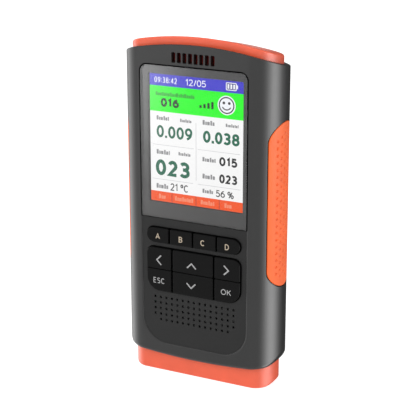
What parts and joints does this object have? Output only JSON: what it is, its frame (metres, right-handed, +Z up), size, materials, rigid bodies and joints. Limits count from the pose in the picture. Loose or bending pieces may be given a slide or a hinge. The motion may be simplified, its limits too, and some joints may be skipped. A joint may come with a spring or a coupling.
{
  "type": "air quality monitor",
  "caption": "Handheld air quality monitor with a colour display, push keys, a speaker grille, orange end caps and rubber side grips; stands upright on its base.",
  "frame": {"origin": "centre of the overall box on the underside of the bottom cap, on the surface the monitor stands on", "axes": "+Z up along the height; -Y out of the display and +Y out of the back; +X to the right of someone facing the display"},
  "size_m": [0.084, 0.0322, 0.175],
  "materials": {
    "shell": "dark grey moulded plastic, fine satin texture",
    "fascia": "slightly darker matt grey plastic plate",
    "orange": "coral orange moulded plastic, satin",
    "grip": "orange soft rubber with rows of small dimples",
    "window": "clear flat glass over a dark frame",
    "display_frame": "black painted pressed metal",
    "screen": "lit colour display",
    "diffuser": "white diffusing film stack",
    "key": "black satin key tops with pale printed signs",
    "silicone": "dark grey silicone sheet",
    "mesh_cloth": "fine black dust mesh",
    "board": "green solder mask",
    "chip": "black moulded resin",
    "steel": "plated steel",
    "battery_foil": "silver laminated foil",
    "sensor_plastic": "black moulded plastic",
    "brass": "turned brass",
    "sensor_can": "satin metal can",
    "white_plastic": "white moulded plastic"
  },
  "bodies": {
    "housing": {"battery": "battery_foil", "board_screw_1": "steel", "board_screw_2": "steel", "bottom_cap": "orange", "charging_socket": "steel", "control_chip": "chip", "display_backlight": "diffuser", "display_frame": "display_frame", "display_panel": "screen", "formaldehyde_sensor": "sensor_can", "front_shell": "shell", "grille_mesh": "mesh_cloth", "grip_left": "grip", "grip_right": "grip", "humidity_sensor": "white_plastic", "keypad_fascia": "fascia", "keypad_mat": "silicone", "laser_module": "brass", "main_board": "board", "rear_cover": "shell", "sensor_cover": "sensor_plastic", "sensor_housing": "sensor_plastic", "shell_screw_1": "steel", "shell_screw_2": "steel", "shell_screw_3": "steel", "shell_screw_4": "steel", "speaker": "sensor_plastic", "top_cap": "orange", "vapour_sensor": "sensor_can", "vent_mesh": "mesh_cloth", "window_lens": "window"},
    "key_a_body": {"key_a": "key"},
    "key_b_body": {"key_b": "key"},
    "key_c_body": {"key_c": "key"},
    "key_d_body": {"key_d": "key"},
    "key_left_body": {"key_left": "key"},
    "key_up_body": {"key_up": "key"},
    "key_right_body": {"key_right": "key"},
    "key_escape_body": {"key_escape": "key"},
    "key_down_body": {"key_down": "key"},
    "key_ok_body": {"key_ok": "key"},
    "fan": {"fan_rotor": "sensor_plastic"}
  },
  "joints": [
    {"name": "key_a_press", "type": "slide", "parent": "housing", "child": "key_a_body", "axis": [0, 1, 0], "range_m": [0, 0.0007], "stiffness_N_per_m": 800},
    {"name": "key_b_press", "type": "slide", "parent": "housing", "child": "key_b_body", "axis": [0, 1, 0], "range_m": [0, 0.0007], "stiffness_N_per_m": 800},
    {"name": "key_c_press", "type": "slide", "parent": "housing", "child": "key_c_body", "axis": [0, 1, 0], "range_m": [0, 0.0007], "stiffness_N_per_m": 800},
    {"name": "key_d_press", "type": "slide", "parent": "housing", "child": "key_d_body", "axis": [0, 1, 0], "range_m": [0, 0.0007], "stiffness_N_per_m": 800},
    {"name": "key_left_press", "type": "slide", "parent": "housing", "child": "key_left_body", "axis": [0, 1, 0], "range_m": [0, 0.0007], "stiffness_N_per_m": 800},
    {"name": "key_up_press", "type": "slide", "parent": "housing", "child": "key_up_body", "axis": [0, 1, 0], "range_m": [0, 0.0007], "stiffness_N_per_m": 800},
    {"name": "key_right_press", "type": "slide", "parent": "housing", "child": "key_right_body", "axis": [0, 1, 0], "range_m": [0, 0.0007], "stiffness_N_per_m": 800},
    {"name": "key_escape_press", "type": "slide", "parent": "housing", "child": "key_escape_body", "axis": [0, 1, 0], "range_m": [0, 0.0007], "stiffness_N_per_m": 800},
    {"name": "key_down_press", "type": "slide", "parent": "housing", "child": "key_down_body", "axis": [0, 1, 0], "range_m": [0, 0.0007], "stiffness_N_per_m": 800},
    {"name": "key_ok_press", "type": "slide", "parent": "housing", "child": "key_ok_body", "axis": [0, 1, 0], "range_m": [0, 0.0007], "stiffness_N_per_m": 800},
    {"name": "fan_spin", "type": "hinge", "parent": "housing", "child": "fan", "pos_m": [0.008, 0.003, 0.131], "axis": [0, 1, 0], "continuous": true}
  ]
}
